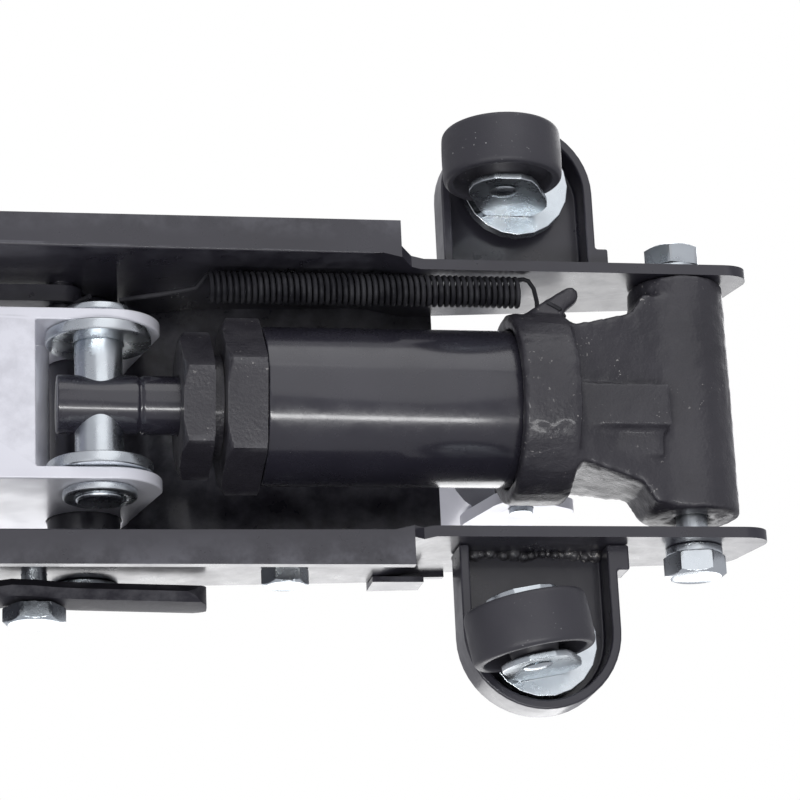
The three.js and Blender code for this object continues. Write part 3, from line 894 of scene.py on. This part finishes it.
@dataclass
class RearCaster:
    """One of the two swivelling casters, with the bracket that carries it."""

    side: str
    ease: float = 0.5 * MM
    tread: float = 8.5 * MM  # half the wheel's width
    radius: float = 19 * MM

    def build(self) -> None:
        """Builds the bracket, the stud, the fork, the axle and the wheel."""
        dress(eased_plate(f"caster_bracket_{self.side}", 0.7 * MM), f"caster_bracket_{self.side}")
        self.weld_bracket()
        self.stud()
        dress(eased_plate(f"caster_fork_{self.side}", self.ease), f"caster_fork_{self.side}")
        across = self.axle_direction()
        self.axle(across)
        self.wheel(across)

    def axle_direction(self) -> Vector:
        """Returns the direction of the wheel's axle, from the joint that it spins on."""
        joint = next(j for j in frame["joints"] if j["name"] == f"caster_wheel_{self.side}_spin")
        return Vector(joint["axis"]).normalized()

    def axle(self, across: Vector) -> None:
        """Makes the riveted axle."""
        node = f"caster_axle_{self.side}"
        half, head, pin = 12.7 * MM, 4.6 * MM, 3 * MM
        end = [(half, 0), (half - 0.2 * MM, 2.2 * MM), (half - 0.7 * MM, 4 * MM)]
        end += [(half - 1.2 * MM, head), (half - 1.3 * MM, pin)]
        bar = end + [(-place, reach) for place, reach in reversed(end)]
        dress(turned(node + "_fine", middle(node), Axis.Y, bar, segments=48, direction=across), node)

    def wheel(self, across: Vector) -> None:
        """Turns the wheel, its tread slightly crowned and its faces recessed."""
        node = f"caster_wheel_{self.side}"
        half, radius = self.tread, self.radius
        face = [(half, 3.4 * MM), (half, 7 * MM), (half - 4 * MM, 8 * MM), (half - 4 * MM, 14.6 * MM)]
        face += [(half - 0.2 * MM, 15.8 * MM), (half - 0.2 * MM, radius - 1.1 * MM)]
        face += [(half - 1.1 * MM, radius - 0.35 * MM)]
        crown = [(half * k / 4, radius - 0.3 * MM * (k / 4) ** 2) for k in (3, 2, 1, 0, -1, -2, -3)]
        ring = eased(face + crown + [(-place, reach) for place, reach in reversed(face)], 0.6 * MM, True)
        dress(turned(node + "_fine", middle(node), Axis.Y, ring, True, direction=across), node)

    def stud(self) -> None:
        """Makes the stud that the fork swivels on, with its nut."""
        node = f"caster_stud_{self.side}"
        low, high = span(node, Axis.Z)
        seat, nut_top, shank = 52.2 * MM, 57 * MM, 5 * MM
        bar = [(low, 0), (low, shank - 0.7 * MM), (low + 0.7 * MM, shank), (seat, shank)]
        bar += [*hexagon(seat, nut_top, 16 * MM), (nut_top, shank)]
        bar += [(high - 0.6 * MM, shank), (high, shank - 0.6 * MM), (high, 0)]
        dress(turned(node + "_fine", on_axis(node, Axis.Z), Axis.Z, bar, phase=0.3), node)

    def weld_bracket(self) -> None:
        """Lays the weld beads that hold the bracket to the side plate."""
        node = f"caster_bracket_{self.side}"
        low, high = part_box(node)
        sign = 1 if self.side == "left" else -1
        root = (low.y if sign > 0 else high.y) + sign * 0.6 * MM
        inner = 3.2 * MM
        under = [Vector((x, root, high.z - inner)) for x in (high.x - inner, low.x + 8 * MM)]
        weld(f"{node}_weld_under", under, node, 2.1 * MM, 5 + sign)
        over = [Vector((x, root, high.z)) for x in (high.x - 1 * MM, low.x + 5 * MM)]
        weld(f"{node}_weld_over", over, node, 1.5 * MM, 11 + sign)


@dataclass
class LiftArm:
    """The silver channel that lifts the load."""

    ease: float = 0.7 * MM

    def build(self) -> None:
        """Builds the arm."""
        dress(eased_plate("lift_arm", self.ease), "lift_arm")


@dataclass
class SaddleHead:
    """The saddle, the bracket under it and the link that keeps them level."""

    ease: float = 0.6 * MM

    def build(self) -> None:
        """Builds the head."""
        dress(eased_plate("saddle_bracket", self.ease), "saddle_bracket")
        dress(eased_plate("levelling_link", 0.5 * MM), "levelling_link")
        dress(eased_plate("saddle", 0.8 * MM), "saddle")
        for node in ("saddle_pin", "link_front_pin"):
            dress(eased_plate(node, 0.4 * MM), node)


@dataclass
class HydraulicUnit:
    """The casting, the reservoir, its nuts and the return spring."""

    voxel: float = 1.1 * MM  # the fineness of the casting's skin
    reservoir_bore: float = 22 * MM
    cylinder_bore: float = 12 * MM
    reservoir_flats: float = 48 * MM
    gland_flats: float = 40 * MM
    gland_neck: float = 16 * MM  # the radius of the round part of the gland nut
    rod_bore: float = 9.6 * MM
    nut_turn: float = -15.0  # how far the nuts' flats are turned, in degrees
    spring_turns: int = 52
    wire: float = 0.75 * MM
    front_eye: float = 8.4 * MM  # the radius of the spring's hook round the ram pin
    rear_eye: float = 3.9 * MM  # the radius of its hook round the casting's lug

    def build(self) -> None:
        """Builds the unit."""
        self.casting()
        self.tube("reservoir_tube", self.reservoir_bore)
        self.tube("inner_cylinder", self.cylinder_bore)
        self.nuts()
        dress(eased_plate("filler_plug", 0.8 * MM), "filler_plug")
        self.return_spring()

    def casting(self) -> None:
        """Makes the casting, its corners filled out and its skin uneven, as sand leaves them."""
        made = as_object("base_casting_fine", merged_copy("base_casting"), 180.0)
        grid = made.modifiers.new("grid", "REMESH")
        grid.mode, grid.voxel_size, grid.use_smooth_shade = "VOXEL", self.voxel, True
        soft = made.modifiers.new("soft", "SMOOTH")
        soft.factor, soft.iterations = 0.6, 5
        sand = bpy.data.textures.new("sand", "CLOUDS")
        sand.noise_scale = 4 * MM
        rough = made.modifiers.new("rough", "DISPLACE")
        rough.texture, rough.strength, rough.mid_level, rough.texture_coords = sand, 0.5 * MM, 0.5, "LOCAL"
        dress(settled(made), "base_casting")

    def tube(self, node: str, bore: float) -> None:
        """Turns one of the unit's two tubes.

        Args:
            node: the CAD node.
            bore: its inner radius.
        """
        ring = ring_profile(span(node, Axis.X), bore, width(node, Axis.Z) / 2, 0.8 * MM)
        dress(turned(node + "_fine", on_axis(node, Axis.X), Axis.X, ring, True, 128), node)

    def nuts(self) -> None:
        """Makes the reservoir nut and the gland nut, both rough cast hexagons."""
        bore, neck, turn = self.rod_bore, self.gland_neck, math.radians(self.nut_turn)
        sizes = (("reservoir_nut", self.reservoir_flats, 0.0), ("gland_nut", self.gland_flats, 3.2 * MM))
        for node, flats, collar in sizes:
            low, high = span(node, Axis.X)
            rear = low + collar
            ring = [(low, bore), (low, neck), (rear, neck)] if collar else [(low, bore)]
            ring += [*hexagon(rear, high, flats, 0.515), (high, bore)]
            dress(turned(node + "_fine", on_axis(node, Axis.X), Axis.X, ring, True, 120, turn), node)

    def return_spring(self) -> None:
        """Winds the return spring with a hook at each end."""
        low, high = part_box("return_spring")
        centre, radius = middle("return_spring"), (high.z - low.z) / 2 - self.wire
        reach = (low.x + 1 * MM, high.x - 1 * MM)
        coil = coil_points(centre, Axis.X, reach, radius, self.spring_turns, 14)
        lug = Vector((-162.5 * MM, 30.8 * MM, centre.z))
        turns = (2.6, 3.6, 4.6, 5.5, 6.6)
        rear = [lug + Vector((math.sin(a), 0.6 * math.sin(a), math.cos(a))) * self.rear_eye for a in turns]
        arch = ((4.2, -7.5), (4.4, -3), (3.6, 1.5), (2, 4), (0.4, 4.6))
        rear += [Vector((low.x - out * MM, centre.y + across * MM, centre.z)) for out, across in arch]
        pin = middle("ram_pin")
        eye = Vector((pin.x, centre.y - 3.4 * MM, pin.z))
        front = [Vector((high.x + 3 * MM, centre.y, centre.z + 1 * MM))]
        front += [Vector((high.x + 13 * MM, centre.y - 1.5 * MM, pin.z - 6 * MM))]
        turns = (3.8, 3.1, 2.2, 1.2, 0.1, -1.2)
        front += [eye + Vector((math.cos(a), 0, math.sin(a))) * self.front_eye for a in turns]
        made = spring_wire("return_spring_coil", rear + coil + front, self.wire)
        made.data.materials.clear()
        made.data.materials.append(material("spring_steel"))
        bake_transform(made)
        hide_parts("return_spring")
        log.info("%s: %d faces", made.name, len(made.data.polygons))


@dataclass
class Ram:
    """The rod, its piston and the pin that pushes the lift arm."""

    groove: float = -31.5 * MM
    pin: float = 7.5 * MM  # the ram pin's radius
    bore: float = 7.65 * MM  # the inner radius of the washers and clips on the pin

    def build(self) -> None:
        """Builds the rod, the piston, the pin, and its washers and clips."""
        self.rod()
        low, high = span("ram_piston", Axis.X)
        bar = eased([(low, 0), (low, 11.7 * MM), (high, 11.7 * MM), (high, 0)], 0.6 * MM)
        dress(turned("ram_piston_fine", on_axis("ram_piston", Axis.X), Axis.X, bar), "ram_piston")
        low, high = span("ram_pin", Axis.Y)
        end = [(low, 0), (low, self.pin - 0.6 * MM), (low + 0.7 * MM, self.pin)]
        bar = eased(end + [(low + high - place, reach) for place, reach in reversed(end)], 0.3 * MM)
        centre = on_axis("ram_pin", Axis.Y)
        dress(turned("ram_pin_fine", centre, Axis.Y, bar), "ram_pin")
        for side in ("left", "right"):
            for kind in ("washer", "clip"):
                node = f"ram_{kind}_{side}"
                ring = ring_profile(span(node, Axis.Y), self.bore, width(node, Axis.X) / 2, 0.9 * MM)
                dress(turned(node + "_fine", centre, Axis.Y, ring, True), node)

    def rod(self) -> None:
        """Turns the painted rod with its groove."""
        low, high = span("ram_rod", Axis.X)
        radius = 9.2 * MM
        bar = [(low, 0), (low, radius), (self.groove - 1 * MM, radius), (self.groove, radius - 0.7 * MM)]
        bar += [(self.groove + 1 * MM, radius), (high, radius), (high, 0)]
        dress(turned("ram_rod_fine", on_axis("ram_rod", Axis.X), Axis.X, eased(bar, 0.8 * MM)), "ram_rod")


@dataclass
class Pump:
    """The hand pump, its release valve and the socket that takes the handle."""

    spring_turns: int = 5

    def build(self) -> None:
        """Builds the pump."""
        dress(eased_plate("handle_socket", 0.7 * MM), "handle_socket")
        small = ("socket_pin", "socket_screw", "pump_roller", "pump_cylinder", "pump_piston", "release_valve")
        for node in small:
            dress(eased_plate(node, 0.4 * MM), node)
        self.spring()

    def spring(self) -> None:
        """Winds the pump's return spring."""
        low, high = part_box("pump_spring")
        centre = middle("pump_spring")
        thick = 0.6 * MM
        radius = (high.x - low.x) / 2 - thick
        reach = (low.z + thick, high.z - thick)
        coil = coil_points(centre, Axis.Z, reach, radius, self.spring_turns, 18)
        made = dress(spring_wire("pump_spring_coil", coil, thick), "pump_spring")
        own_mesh(made)


# ---- Studio ----


@dataclass
class Studio:
    """The floor, the lights, the pale surroundings and the camera."""

    centre: Vector

    def build(self) -> None:
        """Sets everything up round the jack."""
        bpy.context.scene.view_settings.view_transform = "Standard"
        self.surroundings()
        self.floor()
        self.lights()
        self.camera()

    def surroundings(self) -> None:
        """Makes a near-white backdrop that lights the jack softly."""
        world = bpy.data.worlds.new("studio")
        bpy.context.scene.world = world
        world.use_nodes = True
        nodes, links = world.node_tree.nodes, world.node_tree.links
        background = nodes["Background"]
        path = nodes.new("ShaderNodeLightPath")
        shade = nodes.new("ShaderNodeMix")
        shade.data_type = "RGBA"
        shade.inputs[6].default_value = (0.46, 0.46, 0.49, 1)
        shade.inputs[7].default_value = (1.0, 1.0, 1.0, 1)
        links.new(path.outputs["Is Camera Ray"], shade.inputs["Factor"])
        links.new(shade.outputs[2], background.inputs["Color"])

    def floor(self) -> None:
        """Lays a pale floor that can be looked through from below."""
        shape = bmesh.new()
        bmesh.ops.create_grid(shape, x_segments=1, y_segments=1, size=6.0)
        floor = as_object("floor", shape)
        paint = Painter("pale_floor")
        grey = paint.blend(paint.noise(0.8, 2.0), (0.78, 0.78, 0.79), (0.82, 0.82, 0.82))
        paint.feed("Base Color", grey)
        paint.shader.inputs["Roughness"].default_value = 0.7
        paint.shader.inputs["Emission Color"].default_value = (1, 1, 1, 1)
        paint.shader.inputs["Emission Strength"].default_value = 0.35
        nodes, links = paint.tree.nodes, paint.tree.links
        clear, path = nodes.new("ShaderNodeBsdfTransparent"), nodes.new("ShaderNodeLightPath")
        side, face = nodes.new("ShaderNodeNewGeometry"), nodes.new("ShaderNodeMath")
        face.operation = "SUBTRACT"
        links.new(path.outputs["Is Camera Ray"], face.inputs[0])
        links.new(side.outputs["Backfacing"], face.inputs[1])
        face.use_clamp = True
        choose = nodes.new("ShaderNodeMixShader")
        links.new(face.outputs[0], choose.inputs[0])
        links.new(clear.outputs[0], choose.inputs[1])
        links.new(paint.shader.outputs[0], choose.inputs[2])
        links.new(choose.outputs[0], nodes["Material Output"].inputs["Surface"])
        floor.data.materials.append(paint.material)

    def softbox(self, name: str, place: Sequence[float], size: Point, power: float) -> None:
        """Hangs an area light that faces the jack's middle.

        Args:
            name: the light's name.
            place: where it is from the jack's middle, in metres.
            size: its width and height.
            power: its power, in watts.
        """
        data = bpy.data.lights.new(name, "AREA")
        data.shape, data.size, data.size_y, data.energy = "RECTANGLE", size[0], size[1], power
        light = bpy.data.objects.new(name, data)
        away = Vector(place)
        light.location = self.centre + away
        light.rotation_euler = away.to_track_quat("Z", "X").to_euler()
        bpy.context.scene.collection.objects.link(light)

    def lights(self) -> None:
        """Hangs the softboxes above and below."""
        self.softbox("top_key", (-0.25, -0.55, 1.2), (0.9, 0.9), 5.5)
        self.softbox("top_fill", (-0.7, 0.8, 0.9), (0.9, 0.9), 6)
        self.softbox("under_strip", (0.1, -0.55, -1.0), (0.1, 1.2), 6)
        self.softbox("under_left", (-0.2, 1.2, -0.7), (0.9, 1.4), 4)
        self.softbox("under_middle", (-0.2, 0.34, -1.05), (0.9, 0.9), 1.6)

    def camera(self) -> None:
        """Puts the camera under the floor, a little to the right, looking up into the jack."""
        data = bpy.data.cameras.new("camera")
        data.lens, data.sensor_width = 128.57, 36
        data.clip_start, data.clip_end = 0.01, 100
        camera = bpy.data.objects.new("camera", data)
        right = Vector((-0.98455, -0.04319, -0.16972)).normalized()
        back = Vector((0.17471, -0.30850, -0.93504)).normalized()
        up = back.cross(right).normalized()
        turn = Matrix((right, up, back)).transposed().to_4x4()
        camera.matrix_world = Matrix.Translation(Vector((0.0438, -0.2755, -0.8000))) @ turn
        bpy.context.scene.collection.objects.link(camera)
        bpy.context.scene.camera = camera


def main() -> None:
    """Builds the jack, group by group, and the studio round it."""
    logging.basicConfig(level=logging.INFO, format="%(name)s: %(message)s")
    low, high = CAD_BOX
    Studio((low + high) / 2).build()
    steel = SteelFrame()
    steel.build()
    CarryHandle().build(steel)
    for side in ("left", "right"):
        FrontWheel(side).build()
        RearCaster(side).build()
    LiftArm().build()
    SaddleHead().build()
    HydraulicUnit().build()
    Ram().build()
    Pump().build()


if __name__ == "__main__":
    main()
